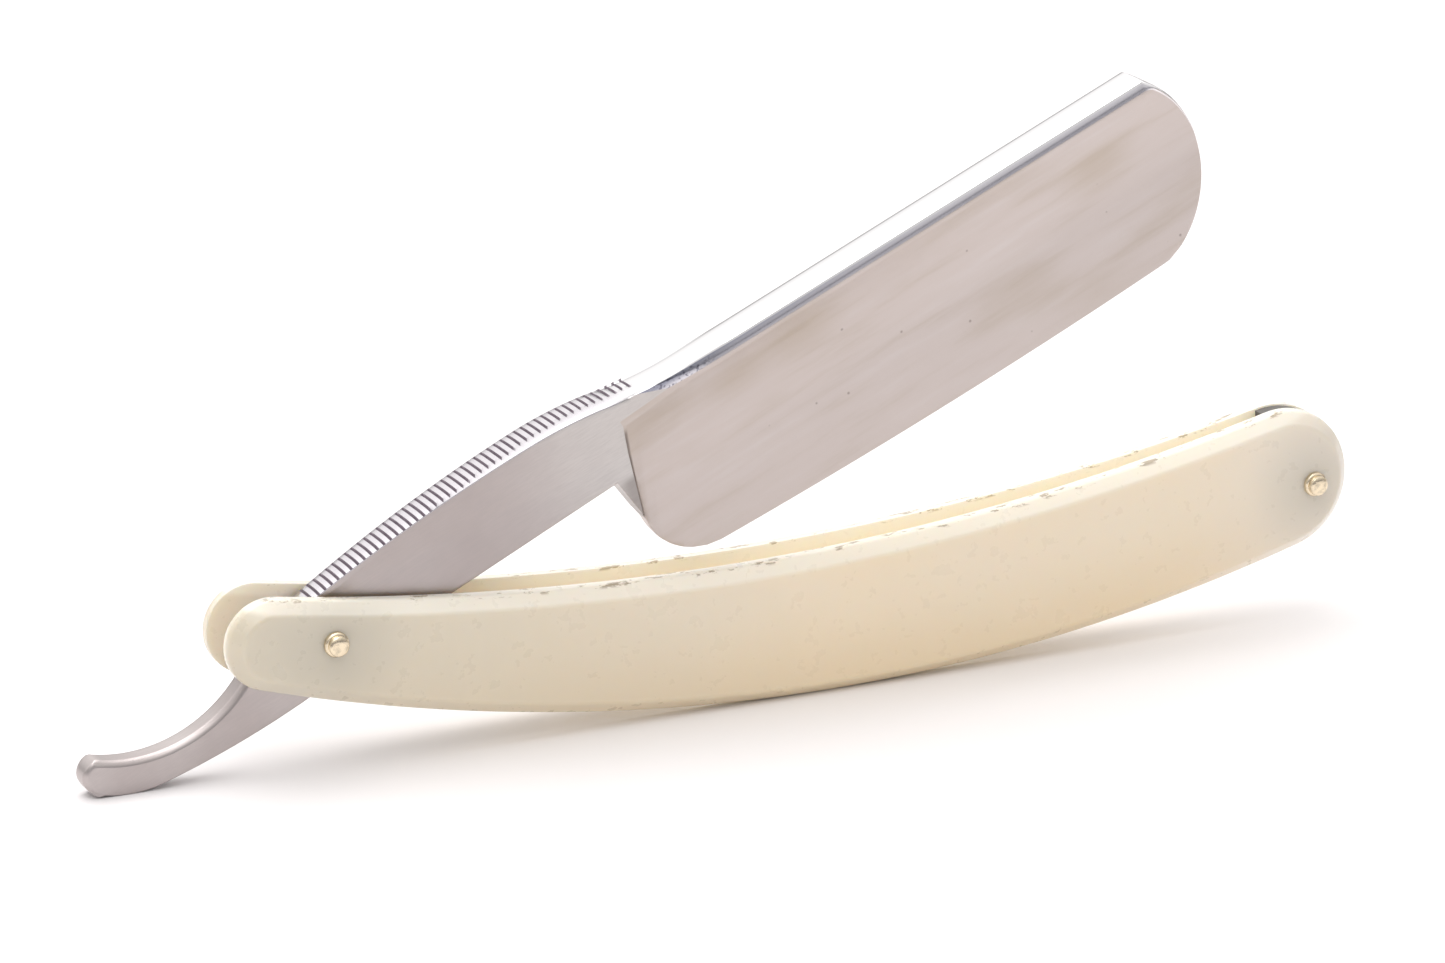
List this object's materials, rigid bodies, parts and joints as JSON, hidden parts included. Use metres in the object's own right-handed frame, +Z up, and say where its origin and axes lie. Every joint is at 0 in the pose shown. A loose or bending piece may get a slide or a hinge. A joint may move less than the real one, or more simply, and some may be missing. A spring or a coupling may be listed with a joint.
{
  "type": "straight razor",
  "caption": "Straight razor with a hollow-ground round-nosed steel blade folding between two curved ivory-coloured scales on a pivot pin.",
  "frame": {"origin": "on the surface the razor stands on, under the middle of its bounding box, half open as it stands on the tip of its tail and the belly of its scales", "axes": "+X along the razor from the tail to the wedge end, +Y across its thickness from the front scale to the back scale, +Z up"},
  "size_m": [0.163, 0.0136, 0.0694],
  "materials": {
    "blade_steel": "satin ground hollow, polished spine",
    "scale_plastic": "polished ivory-coloured celluloid, worn at the edges",
    "wedge_dark": "dull dark grey",
    "pin_metal": "pale nickel silver, peened",
    "washer_brass": "plain"
  },
  "bodies": {
    "handle": {"front_scale": "scale_plastic", "back_scale": "scale_plastic", "wedge": "wedge_dark", "pivot_pin": "pin_metal", "wedge_pin": "pin_metal", "pivot_washer_front": "washer_brass", "pivot_washer_back": "washer_brass", "pivot_collar_front": "pin_metal", "pivot_collar_back": "pin_metal", "wedge_collar_front": "pin_metal", "wedge_collar_back": "pin_metal"},
    "blade": {"blade": "blade_steel"}
  },
  "joints": [
    {"name": "blade_pivot", "type": "hinge", "parent": "handle", "child": "blade", "pos_m": [-0.05175, 0, 0.01561], "axis": [0, -1, 0], "range_deg": [-19, 245.5]}
  ]
}
